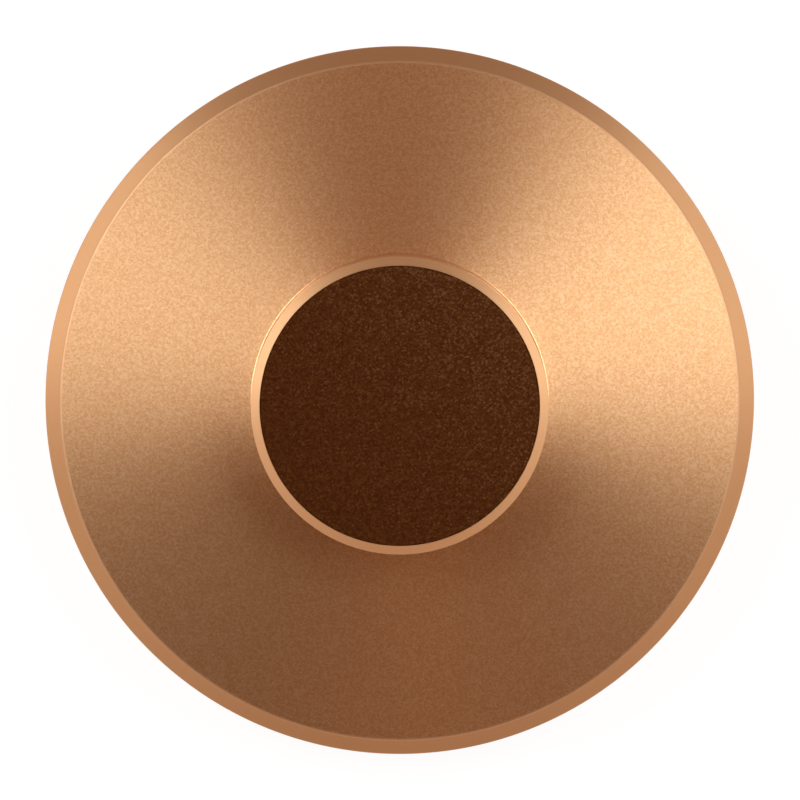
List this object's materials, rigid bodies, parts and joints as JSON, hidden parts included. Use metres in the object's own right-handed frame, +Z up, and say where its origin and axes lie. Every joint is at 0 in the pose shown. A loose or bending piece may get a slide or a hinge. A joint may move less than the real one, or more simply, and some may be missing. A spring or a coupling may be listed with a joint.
{
  "type": "record weight",
  "caption": "Round turned metal puck with a wide shallow cone, a raised knob with a dark suede inlay and a blind spindle hole; it presses a record flat on a turntable.",
  "frame": {"origin": "middle of the flat base, on the puck's axis", "axes": "+Z up along the puck's axis, out of the knob's top; X and Y are any two directions across the base"},
  "size_m": [0.08, 0.08, 0.028],
  "materials": {
    "copper_anodised": "copper-coloured anodised, bead-blasted, with bright-cut bevel and rim",
    "brown_suede": "dark brown fine suede"
  },
  "bodies": {
    "root": {"weight_body": "copper_anodised", "top_inlay": "brown_suede"}
  },
  "joints": []
}
